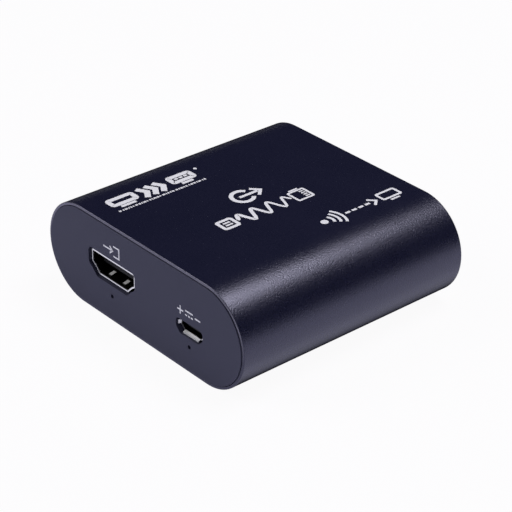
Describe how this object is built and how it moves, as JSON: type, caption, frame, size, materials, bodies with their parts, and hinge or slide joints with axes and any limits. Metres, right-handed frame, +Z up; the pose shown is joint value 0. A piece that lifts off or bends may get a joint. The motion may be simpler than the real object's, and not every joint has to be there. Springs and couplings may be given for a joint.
{
  "type": "hdmi extender",
  "caption": "Extender's sending unit: round-sided aluminium sleeve, plastic end plates, a video socket and power socket in front, a network jack behind, circuit board in rails.",
  "frame": {"origin": "on the surface that the unit rests on, under the middle of its box", "axes": "+Z up, +Y from the input end plate to the network end plate, +X to the right as seen from the input end"},
  "size_m": [0.064, 0.06, 0.023],
  "materials": {
    "anodised_sleeve": "fine bead-blasted, blue-black anodised",
    "plate_plastic": "fine matte moulding texture, dark blue-grey",
    "board_resin": "green solder mask",
    "plated_steel": "stamped, nickel-plated sheet",
    "insulator_plastic": "black moulded",
    "gold_plate": "gold-plated spring bronze",
    "lamp_body": "white moulded",
    "lamp_lens": "clear cast resin",
    "green_lamp": "tinted clear resin",
    "amber_lamp": "tinted clear resin",
    "chip_resin": "black moulded resin",
    "tinned_leads": "tinned",
    "bare_aluminium": "bare, drawn",
    "heat_pad": "soft filled silicone",
    "ferrite": "sintered, dark grey",
    "copper_wire": "enamelled copper",
    "ceramic": "fired ceramic with tinned ends",
    "resistor_glaze": "glazed",
    "print_ink": "pad-printed signs on the sleeve and plate"
  },
  "bodies": {
    "unit": {"sleeve": "anodised_sleeve", "input_end_plate": "plate_plastic", "network_end_plate": "plate_plastic", "circuit_board": "board_resin", "video_socket_shell": "plated_steel", "power_socket_shell": "plated_steel", "jack_shield": "plated_steel", "video_socket_insulator": "insulator_plastic", "power_socket_insulator": "insulator_plastic", "jack_housing": "insulator_plastic", "video_socket_contacts": "gold_plate", "power_socket_contacts": "gold_plate", "jack_contact_leads": "gold_plate", "signal_lamp": "lamp_body", "power_lamp": "lamp_body", "lamp_lenses": "lamp_lens", "jack_link_lamp": "green_lamp", "jack_activity_lamp": "amber_lamp", "transmitter_chip": "chip_resin", "equaliser_chip": "chip_resin", "memory_chip": "chip_resin", "voltage_regulator": "chip_resin", "line_transformer": "chip_resin", "surge_arresters": "chip_resin", "crystal_base": "chip_resin", "capacitor_bases": "chip_resin", "transmitter_chip_leads": "tinned_leads", "memory_chip_leads": "tinned_leads", "regulator_leads": "tinned_leads", "line_transformer_leads": "tinned_leads", "heat_sink": "bare_aluminium", "capacitor_cans": "bare_aluminium", "crystal_can": "bare_aluminium", "heat_pad": "heat_pad", "power_inductor": "ferrite", "inductor_coil": "copper_wire", "ceramic_capacitors": "ceramic", "chip_resistors": "resistor_glaze"},
    "jack_springs": {"jack_spring_contacts": "gold_plate"}
  },
  "joints": [
    {"name": "jack_springs_lift", "type": "hinge", "parent": "unit", "child": "jack_springs", "pos_m": [0, 0.02832, 0.0188], "axis": [-1, 0, 0], "range_deg": [0, 10], "stiffness_Nm_per_rad": 0.4}
  ]
}
